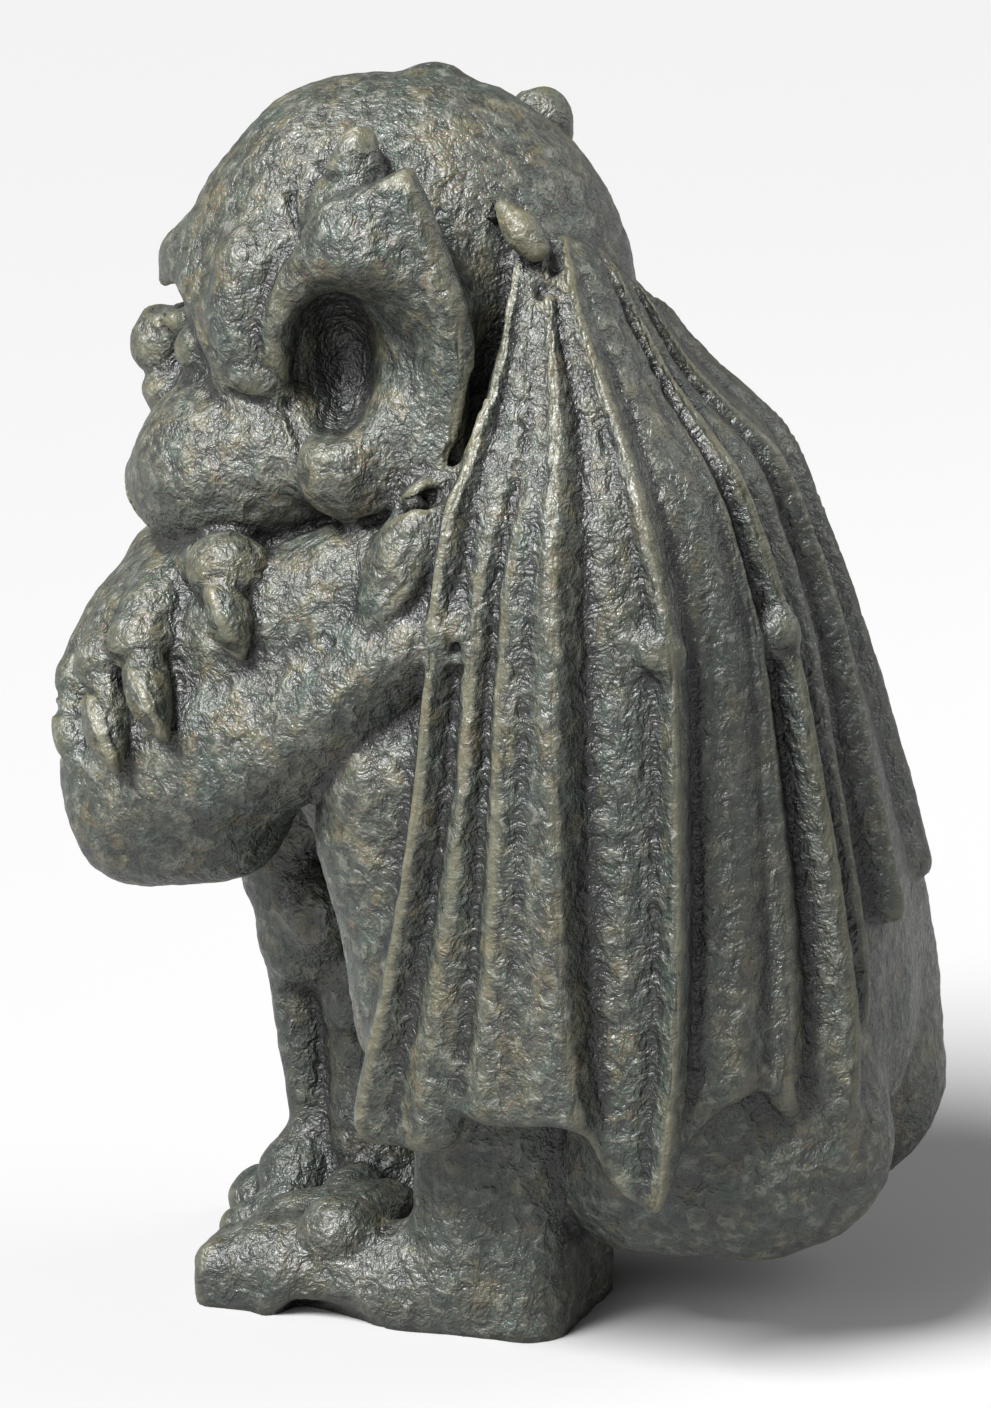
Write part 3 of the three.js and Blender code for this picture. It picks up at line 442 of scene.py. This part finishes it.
# Fine carving, each a stroke of the tool through (x, y, z, radius) stations: wrinkles beside the
# horn, under the lid, cheek and ear and along the arm, the mouth, and the edges of the claws
CREASES = (
    ((-39, -111.5, 271, 1.4), (-24, -115.5, 277.5, 1.9), (-8, -115.5, 283, 2.1), (8, -115.5, 283, 2.1),
     (24, -115.5, 277.5, 1.9), (39, -111.5, 271, 1.4)),
    ((44, -54, 384, 1.2), (47, -55, 375, 1.5), (52, -52, 367, 1.3)),
    ((47, -48, 384, 1.2), (50, -50.5, 377, 1.4), (54, -49, 372, 1.2)),
    ((42, -46, 386, 1.4), (52, -43, 384, 1.6), (60, -36, 385, 1.6), (61, -29, 386, 1.4)),
    ((42, -92, 340, 1.4), (48.5, -86.5, 331, 1.7), (55, -80, 326, 1.7), (58, -75, 325, 1.4)),
    ((59, -76, 314, 1.2), (61, -69, 312.5, 1.4), (62, -62, 311.5, 1.4), (63, -54, 309, 1.2)),
    ((60, -53, 311, 1.8), (66, -48, 302, 1.9), (71, -45, 294, 1.4)),
    ((12, -108, 329, 1.3), (18, -106, 322, 1.5), (17, -106, 315, 1.3)),
    ((87, -33, 252, 1.2), (87.5, -42, 240, 1.3), (90.5, -54, 223, 1.3), (92, -63, 213, 1.1)),
    ((89.5, -30, 241, 1.1), (92, -36, 234, 1.2), (95, -45, 222, 1.1)),
    ((82, -78, 254, 1.5), (85.5, -68, 258.5, 1.7), (80.5, -59, 252, 1.7)),
    ((76, -108.5, 227, 1.5), (86.5, -97, 228.5, 1.7), (81.5, -89, 228, 1.7)),
    ((64, -123, 213, 1.5), (79.5, -111.5, 216.5, 1.7), (75, -103, 216, 1.7)),
    ((48, -138, 202, 1.5), (60.5, -131.5, 204.5, 1.7), (59.5, -126, 205, 1.5)),
    ((94, 73, 237.5, 1), (98.5, 77, 238, 1.3), (99, 82, 238.5, 1.2)),
    ((60, 105, 237.5, 1), (56, 110, 238, 1.2), (51, 115, 237.5, 1)),
)
CORDS = (
    ((87, -71, 254, 1.6), (91.3, -66.3, 246, 1.8), (91.3, -62, 238, 1.3)),
    ((86, -98, 226, 1.6), (93.3, -91.3, 219, 1.8), (94.3, -86, 209, 1.3)),
    ((80, -114, 214, 1.6), (86.3, -109, 206, 1.8), (89.3, -104, 196, 1.3)),
)
# The wing's knuckles, and the pinholes that air bubbles left in the casting
KNUCKLES = (((92, 10, 246), (6, 8, 9)), ((91, 77, 244), (6, 8, 8)), ((51, 106, 243), (7, 7, 9)))
PINHOLES = (((97, 12, 243), (3.2, 2.3, 2.3)), ((91.5, -63, 237), (3.2, 2, 2)), ((52, 28.5, 351), (3, 3, 4.5)))
for middle, size in KNUCKLES:
    gargoyle.add(egg(middle, size), 4)
for stroke in CREASES:
    gargoyle.cut(limb(*stroke), 2)
for stroke in CORDS:
    gargoyle.add(limb(*stroke), 1.5)
for middle, size in PINHOLES:
    gargoyle.cut(egg(middle, size), 1)

# The skin: even faces 1.9 mm across, drawn onto the clay in small steps and relaxed between them,
# twice over, so that no fold of the first skin is left
FIRST_FACE, FACE = ((0.002, 0.0019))
PRESS_STEPS = 6
PRESS_MOST = 2.5
PRESS_SHARE = 0.7
RELAX_SHARE = 0.5


def even_skin(piece, face_size):
    """Gives a piece a skin of even four-sided faces."""
    remesh = piece.modifiers.new("even_skin", "REMESH")
    remesh.mode = "VOXEL"
    remesh.voxel_size = face_size
    evaluated = piece.evaluated_get(bpy.context.evaluated_depsgraph_get())
    skin = bpy.data.meshes.new_from_object(evaluated)
    piece.modifiers.clear()
    piece.data = skin


class Skin:
    """The points, faces and edges of a mesh of four-sided faces as arrays, in clay millimetres."""

    def __init__(self, mesh):
        self.mesh = mesh
        points = np.empty(len(mesh.vertices) * 3)
        mesh.vertices.foreach_get("co", points)
        self.points = points.reshape(-1, 3) / MM - CLAY_TO_FRAME
        faces = np.empty(len(mesh.loops), int)
        mesh.loops.foreach_get("vertex_index", faces)
        self.faces = faces.reshape(-1, 4)
        edges = np.empty(len(mesh.edges) * 2, int)
        mesh.edges.foreach_get("vertices", edges)
        self.edges = edges.reshape(-1, 2)
        self.ties = np.bincount(self.edges.ravel(), minlength=len(self.points))[:, None]

    def summed(self, index, values):
        return np.stack([np.bincount(index, values[:, k], len(self.points)) for k in range(3)], 1)

    def normals(self):
        corners = self.points[self.faces]
        across = np.cross(corners[:, 2] - corners[:, 0], corners[:, 3] - corners[:, 1])
        total = self.summed(self.faces.ravel(), np.repeat(across, 4, axis=0))
        return total / np.maximum(np.linalg.norm(total, axis=1), 1e-12)[:, None]

    def neighbours_mean(self, values):
        a, b = self.edges.T
        return (self.summed(a, values[b]) + self.summed(b, values[a])) / self.ties

    def relax(self, strength):
        """Evens the faces out without moving the skin in or out."""
        pull = self.neighbours_mean(self.points) - self.points
        normals = self.normals()
        self.points += strength * (pull - (pull * normals).sum(1, keepdims=True) * normals)

    def press(self, clay):
        """Draws the skin onto the clay, a share of the way, so that a steep fold isn't overshot."""
        distance = np.clip(PRESS_SHARE * clay.at(self.points), -PRESS_MOST, PRESS_MOST)
        self.points -= self.normals() * distance[:, None]

    def write(self):
        self.mesh.vertices.foreach_set("co", ((self.points + CLAY_TO_FRAME) * MM).ravel())
        self.mesh.update()


bm = bmesh.new()
bm.from_mesh(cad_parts[NODE].data)
bmesh.ops.remove_doubles(bm, verts=bm.verts[:], dist=1e-6)
blank = bpy.data.meshes.new("figure")
bm.to_mesh(blank)
bm.free()
figure = bpy.data.objects.new("figure", blank)
bpy.context.scene.collection.objects.link(figure)
for face_size in (FIRST_FACE, FACE):
    even_skin(figure, face_size)
    skin = Skin(figure.data)
    for step in range(PRESS_STEPS):
        skin.press(gargoyle)
        skin.relax(RELAX_SHARE)
    skin.press(gargoyle)
    skin.write()


def dabs(points, size, seed):
    """How far points are from the nearest of many scattered middles: 0 at one, about 1 between them."""
    cells = points / size
    home = np.floor(cells).astype(int)
    low = home.min(0) - 1
    middles = np.random.default_rng(seed).random((*(home.max(0) + 2 - low), 3))
    nearest = np.full(len(points), 9.0)
    for step in np.ndindex(3, 3, 3):
        cell = home + step - 1
        nearest = np.minimum(nearest, np.linalg.norm(cells - cell - middles[tuple((cell - low).T)], axis=1))
    return nearest


def smoothed(values, rounds):
    for step in range(rounds):
        values = skin.neighbours_mean(values)
    return values


def depth_below(mean):
    """How far each point lies below a smoothed skin: more than nought in a crevice, less on a ridge."""
    return ((mean - skin.points) * skin.normals()).sum(1)


# The hammered texture: dabs of clay about 6 mm long over a slower unevenness, shallower on what
# stands proud by over half a millimetre, such as the claws, and with the soles flat
DAB_SIZE, DAB_DEPTH, DAB_SEED = (6, 6, 5), 0.7, 3
SWELL_SIZE, SWELL_DEPTH, SWELL_SEED = (19, 17, 14), 0.9, 8
RIDGE_ROUNDS, RIDGE_GAIN, RIDGE_START, RIDGE_CALM = 8, 0.8, 0.2, 0.65
SOLE_HEIGHT = 1.2
ridge = np.clip(-RIDGE_GAIN * depth_below(smoothed(skin.points, RIDGE_ROUNDS)) - RIDGE_START, 0, 1)
dab = DAB_DEPTH * (0.5 - dabs(skin.points, DAB_SIZE, DAB_SEED))
swell = SWELL_DEPTH * (0.5 - dabs(skin.points, SWELL_SIZE, SWELL_SEED))
skin.points += skin.normals() * ((dab + swell) * (1 - RIDGE_CALM * ridge))[:, None]
skin.points[:, 2] = np.where(skin.points[:, 2] < SOLE_HEIGHT, 0, skin.points[:, 2])
skin.write()

# What the wash and the painted shade read: the depth in a crevice, and in a hollow of a hand's breadth
CREVICE_ROUNDS, HOLLOW_ROUNDS = 6, 50
near = smoothed(skin.points, CREVICE_ROUNDS)
for name, mean in (("crevice", near), ("hollow", smoothed(near, HOLLOW_ROUNDS))):
    depth = depth_below(mean).astype(np.float32)
    figure.data.attributes.new(name, "FLOAT", "POINT").data.foreach_set("value", depth)

# The flat stretches need fewer faces
TRIANGLES = 190000
thinning = figure.modifiers.new("thinning", "DECIMATE")
thinning.ratio = min(1, TRIANGLES / (2 * len(skin.faces)))
evaluated = figure.evaluated_get(bpy.context.evaluated_depsgraph_get())
thinned = bpy.data.meshes.new_from_object(evaluated)
figure.modifiers.clear()
figure.data = thinned
figure.data.shade_smooth()

# The patina: a dark green-grey wash over the resin, rubbed back to a pale stone colour on what
# stands proud and left near black in the crevices, with ochre, teal and pinkish flecks all over.
# Painted shade darkens it in the larger hollows and behind the shoulders, and it is darker on the feet.
GREEN_WASH, BROWN_WASH = (43, 49, 42), (54, 56, 47)
OCHRE, TEAL = (72, 66, 46), (44, 56, 52)
PALE_FLECK, DARK_FLECK = (98, 98, 89), (20, 23, 21)
RUBBED, BACK_SHADE_AND_DARK_FEET, CREVICE_WASH_AND_HOLLOW_SHADE = (92, 88, 66), (24, 30, 27), (10, 13, 11)
DENT_MM, GRAIN_MM, PATCH_MM, CLOUD_MM = 5.5, 1.1, 12, 45
DENT_SHARE = 0.9
RELIEF = 0.0034
GLOSS = 0.65


class Nodes:
    """Adds nodes to a tree and joins them by socket name."""

    def __init__(self, tree):
        self.tree = tree

    def add(self, kind, settings=None, **inputs):
        node = self.tree.nodes.new(kind)
        for name, value in (settings or {}).items():
            setattr(node, name, value)
        for name, value in inputs.items():
            socket = node.inputs[int(name[1:])] if name[1:].isdigit() else node.inputs[name.replace("_", " ")]
            if isinstance(value, bpy.types.NodeSocket):
                self.tree.links.new(value, socket)
            else:
                socket.default_value = value
        return node

    def noise(self, place, size_mm, detail=2.0, roughness=0.5, distortion=0.0):
        """Noise with features about size_mm across."""
        return self.add("ShaderNodeTexNoise", Vector=place, Scale=1 / (size_mm * MM), Detail=detail,
                        Roughness=roughness, Distortion=distortion)

    def maths(self, operation, a, b=0.0):
        return self.add("ShaderNodeMath", {"operation": operation}, _0=a, _1=b).outputs[0]

    def fit(self, value, low, high, to_low=0.0, to_high=1.0):
        node = self.add("ShaderNodeMapRange", {"interpolation_type": "SMOOTHSTEP"}, Value=value)
        for name, number in (("From Min", low), ("From Max", high), ("To Min", to_low), ("To Max", to_high)):
            node.inputs[name].default_value = number
        return node.outputs[0]

    def blend(self, share, a, b, kind="MIX"):
        node = self.tree.nodes.new("ShaderNodeMix")
        node.data_type, node.blend_type = "RGBA", kind
        for socket, value in ((node.inputs[0], share), (node.inputs[6], a), (node.inputs[7], b)):
            if isinstance(value, bpy.types.NodeSocket):
                self.tree.links.new(value, socket)
            else:
                socket.default_value = value
        return node.outputs[2]


def srgb(red, green, blue):
    """A colour from its 0 to 255 screen values."""
    linear = [c / 255 / 12.92 if c <= 10 else ((c / 255 + 0.055) / 1.055) ** 2.4 for c in (red, green, blue)]
    return (*linear, 1)


patina = bpy.data.materials.new("patinated_resin")
patina.use_nodes = True
patina.node_tree.nodes.clear()
n = Nodes(patina.node_tree)
place = n.add("ShaderNodeTexCoord").outputs["Object"]
crevice = n.add("ShaderNodeAttribute", {"attribute_name": "crevice"}).outputs["Fac"]
hollow = n.add("ShaderNodeAttribute", {"attribute_name": "hollow"}).outputs["Fac"]

# Dents of the tool, a few millimetres across and shallower on claws, and the grain of the powder
dents = n.noise(place, DENT_MM, 3, 0.62, 0.35).outputs["Fac"]
grain = n.noise(place, GRAIN_MM, 1, 0.6)
patch = n.noise(place, PATCH_MM, 2, 0.6).outputs["Fac"]
cloud = n.noise(place, CLOUD_MM, 0).outputs["Fac"]
height = n.maths("ADD", n.maths("MULTIPLY", dents, DENT_SHARE),
                 n.maths("MULTIPLY", grain.outputs["Fac"], 1 - DENT_SHARE))
relief = n.maths("MULTIPLY", height, n.fit(crevice, -0.3, -1.3, 1, 0.4))

# The wash in clouds and patches, with the powder's flecks in it
colour = n.blend(n.fit(cloud, 0.35, 0.65), srgb(*GREEN_WASH), srgb(*BROWN_WASH))
colour = n.blend(n.fit(patch, 0.52, 0.64, 0, 0.65), colour, srgb(*OCHRE))
colour = n.blend(n.fit(patch, 0.44, 0.34, 0, 0.5), colour, srgb(*TEAL))
tint = n.add("ShaderNodeHueSaturation", Color=grain.outputs["Color"], Saturation=0.9).outputs[0]
colour = n.blend(0.65, colour, n.blend(1.0, colour, tint, "OVERLAY"))

# What the rubbing left on high places and the wash in low ones, with painted shade on the back and in hollows
colour = n.blend(n.fit(height, 0.53, 0.65, 0, 0.55), colour, srgb(*PALE_FLECK))
colour = n.blend(n.fit(height, 0.49, 0.4, 0, 0.7), colour, srgb(*DARK_FLECK))
colour = n.blend(n.fit(crevice, -0.35, -1.2, 0, 0.5), colour, srgb(*RUBBED))
split = n.add("ShaderNodeSeparateXYZ", Vector=place).outputs
# Painted shade on the back behind the shoulders, above the seat; the front of the feet is made darker as well
back = n.maths("MULTIPLY", n.fit(split["Y"], 0.02, 0.09), n.fit(split["Z"], 0.09, 0.16))
feet = n.maths("MULTIPLY", n.fit(split["Y"], 0.03, -0.02), n.fit(split["Z"], 0.1, 0.04))
colour = n.blend(n.maths("MULTIPLY", n.maths("ADD", back, feet), 0.45), colour, srgb(*BACK_SHADE_AND_DARK_FEET))
# The wash near black in the crevices, with painted shade added in the larger hollows
wash_and_shade_depth = n.maths("ADD", crevice, n.maths("MULTIPLY", hollow, 0.2))
colour = n.blend(n.fit(wash_and_shade_depth, 0.15, 0.9, 0, 0.9), colour, srgb(*CREVICE_WASH_AND_HOLLOW_SHADE))

bump = n.add("ShaderNodeBump", Height=relief, Strength=1.0, Distance=RELIEF)
rough = n.fit(grain.outputs["Fac"], 0.3, 0.7, 0.4, 0.6)
shader = n.add("ShaderNodeBsdfPrincipled", Base_Color=colour, Roughness=rough, Normal=bump.outputs[0])
shader.inputs["Specular IOR Level"].default_value = GLOSS
n.add("ShaderNodeOutputMaterial", Surface=shader.outputs[0])

figure.data.materials.clear()
figure.data.materials.append(patina)
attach(figure, "root")
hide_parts(NODE)

# The floor: a plain matt sheet that the statue stands on, wide enough to fill the view. The light
# turns it white.
FLOOR_WIDTH = 30
FLOOR_GREY = (0.3, 0.3, 0.3, 1)
bpy.ops.mesh.primitive_plane_add(size=FLOOR_WIDTH)
floor = bpy.context.object
floor.name = "floor"
paper = bpy.data.materials.new("pale_floor")
paper.use_nodes = True
paper.node_tree.nodes["Principled BSDF"].inputs["Base Color"].default_value = FLOOR_GREY
paper.node_tree.nodes["Principled BSDF"].inputs["Roughness"].default_value = 0.9
floor.data.materials.append(paper)

# The light: a sun with a wide disc, which gives the even light and soft shadows of a large studio
# lamp high on the left of the view, a low disc for the sheen on the wing's front panel, and a weak
# one for the back, all in a pale room.
STATUE_MIDDLE = Vector((0, 0, 0.2))
LAMP_DISTANCE = 1.6
LAMPS = (("key", 52, 52, 10.5), ("sheen", 70, 20, 9), ("fill", 205, 32, 14))
KEY_DISC = math.radians(28)
DISC_WIDTH = {"sheen": 0.9, "fill": 1.2}


def direction(azimuth, elevation):
    """The way from the statue to a place round it: azimuth 0 is in front of the face."""
    a, e = math.radians(azimuth), math.radians(elevation)
    return Vector((math.sin(a) * math.cos(e), -math.cos(a) * math.cos(e), math.sin(e)))


for name, azimuth, elevation, energy in LAMPS:
    light = bpy.data.lights.new(name, "AREA" if name in DISC_WIDTH else "SUN")
    light.energy = energy
    if name in DISC_WIDTH:
        light.shape, light.size = "DISK", DISC_WIDTH[name]
    else:
        light.angle = KEY_DISC
    lamp = bpy.data.objects.new(name, light)
    lamp.location = STATUE_MIDDLE + direction(azimuth, elevation) * LAMP_DISTANCE
    lamp.rotation_euler = direction(azimuth, elevation).to_track_quat("Z", "Y").to_euler()
    bpy.context.scene.collection.objects.link(lamp)
ROOM_STRENGTH = 0.25
room = bpy.data.worlds.new("pale_room")
room.use_nodes = True
room.node_tree.nodes["Background"].inputs["Color"].default_value = (1, 1, 1, 1)
room.node_tree.nodes["Background"].inputs["Strength"].default_value = ROOM_STRENGTH
bpy.context.scene.world = room
bpy.context.scene.view_settings.view_transform = "Standard"

# The camera: a little behind the statue's left side and above it, as far off as a long lens
# stands, and wide enough for the photograph's frame.
CAMERA_AZIMUTH, CAMERA_ELEVATION, CAMERA_DISTANCE = 104.5, 14.5, 2.2
PHOTO_HEIGHT_PX = 1408
PX_PER_METRE = 3030
lens = bpy.data.cameras.new("camera")
lens.sensor_fit = "VERTICAL"
lens.sensor_height = 36
lens.lens = PX_PER_METRE * CAMERA_DISTANCE / PHOTO_HEIGHT_PX * lens.sensor_height
lens.clip_end = 100
camera = bpy.data.objects.new("camera", lens)
toward = direction(CAMERA_AZIMUTH, CAMERA_ELEVATION)
camera.location = STATUE_MIDDLE + Vector(CLAY_TO_FRAME) * MM + toward * CAMERA_DISTANCE
camera.rotation_euler = toward.to_track_quat("Z", "Y").to_euler()
bpy.context.scene.collection.objects.link(camera)
bpy.context.scene.camera = camera
